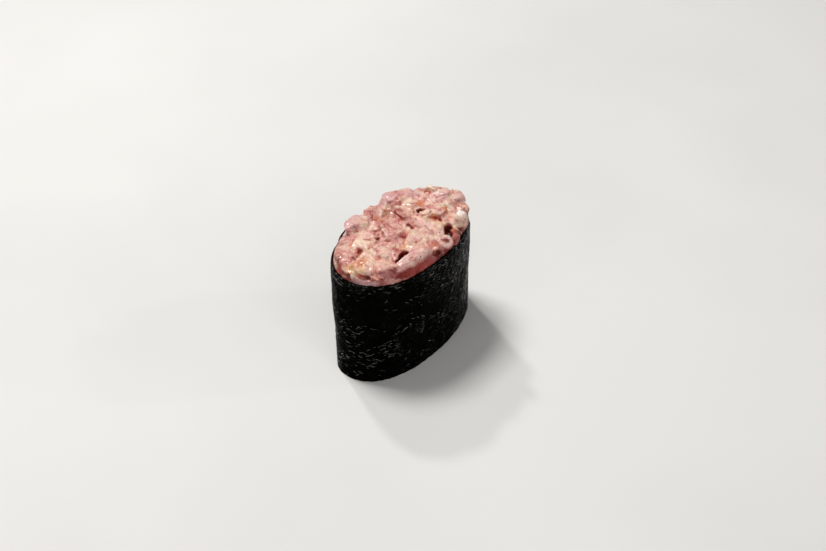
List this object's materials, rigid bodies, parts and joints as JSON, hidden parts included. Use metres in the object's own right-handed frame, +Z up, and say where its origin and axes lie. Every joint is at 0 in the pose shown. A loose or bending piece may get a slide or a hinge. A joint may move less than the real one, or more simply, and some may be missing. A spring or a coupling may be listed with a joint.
{
  "type": "spicy tuna gunkan sushi",
  "caption": "Oval sushi standing upright: pressed rice wrapped in a band of nori and heaped to above the rim with chopped raw tuna in spicy mayonnaise.",
  "frame": {"origin": "on the surface that the sushi stands on, under the middle of its box", "axes": "+Z up, +X along the long way of the oval towards the end where the rim is higher, Y across it with the lapped end of the nori on the +Y side"},
  "size_m": [0.0516, 0.0306, 0.0383],
  "materials": {
    "nori": "toasted seaweed sheet, near black with a green cast, finely crinkled with small glints",
    "rice": "cooked short-grain rice, white, moist",
    "tuna": "chopped raw tuna coated in spicy mayonnaise, pale pink, moist"
  },
  "bodies": {
    "root": {"nori_wrap": "nori", "rice_bed": "rice", "tuna_topping": "tuna"}
  },
  "joints": []
}
